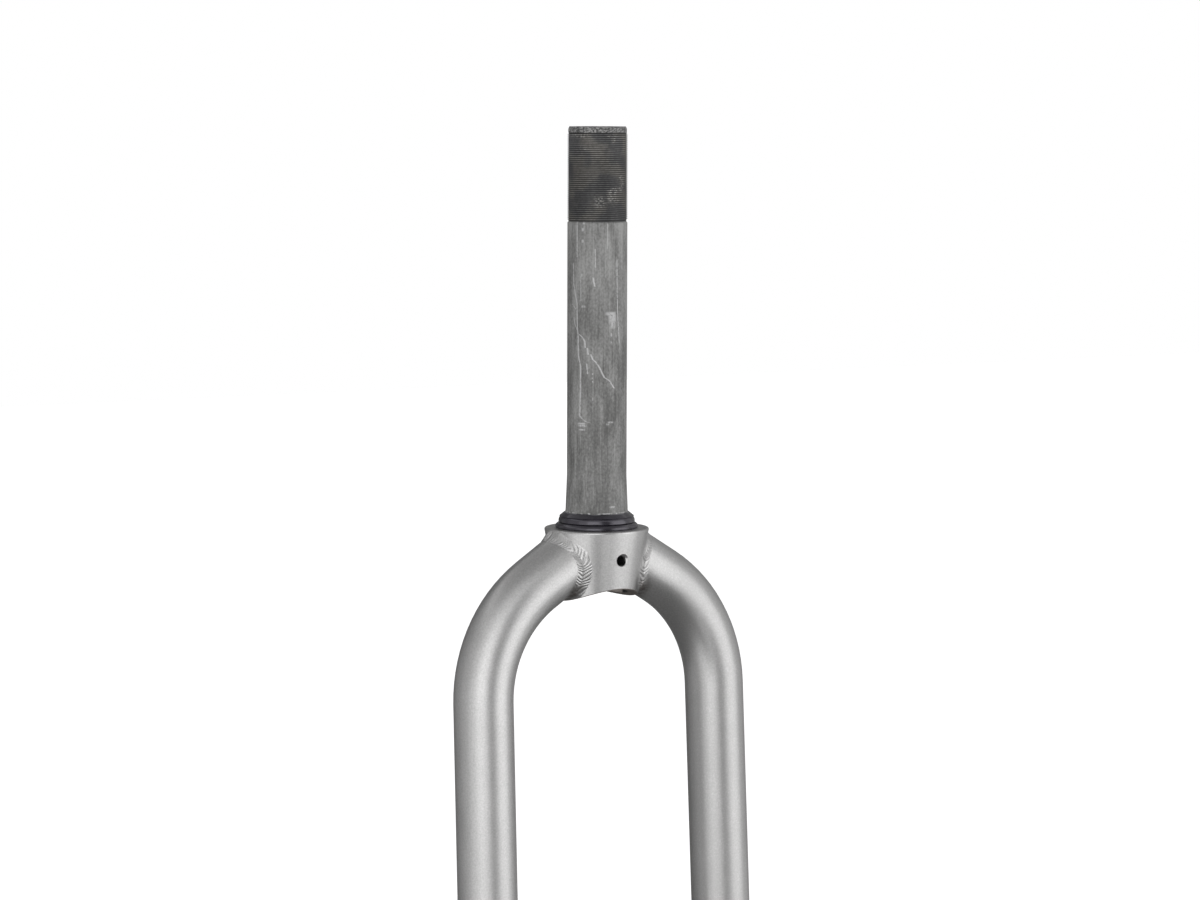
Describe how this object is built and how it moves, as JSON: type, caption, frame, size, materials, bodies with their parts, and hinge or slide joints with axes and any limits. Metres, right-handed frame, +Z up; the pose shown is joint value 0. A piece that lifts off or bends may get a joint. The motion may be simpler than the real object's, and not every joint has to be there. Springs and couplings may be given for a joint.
{
  "type": "rigid bicycle fork",
  "caption": "Rigid bicycle fork: threaded steel steerer with a black crown race, conical crown, and welded bent tube blades that end in slotted dropouts.",
  "frame": {"origin": "on the steerer's axis at the crown's top face, where the crown race sits", "axes": "+Z up the steerer, -Y forwards (the side with the tapped crown hole), X across the wheel with the rider's left at +X"},
  "size_m": [0.1676, 0.0851, 0.6508],
  "materials": {
    "raw_steel": "satin",
    "silver_paint": "satin",
    "black_finish": "satin"
  },
  "bodies": {
    "root": {"steerer_tube": "raw_steel", "crown": "silver_paint", "crown_race": "black_finish", "left_blade": "silver_paint", "right_blade": "silver_paint", "left_crown_weld": "silver_paint", "right_crown_weld": "silver_paint", "left_dropout": "silver_paint", "right_dropout": "silver_paint", "left_dropout_weld": "silver_paint", "right_dropout_weld": "silver_paint"}
  },
  "joints": []
}
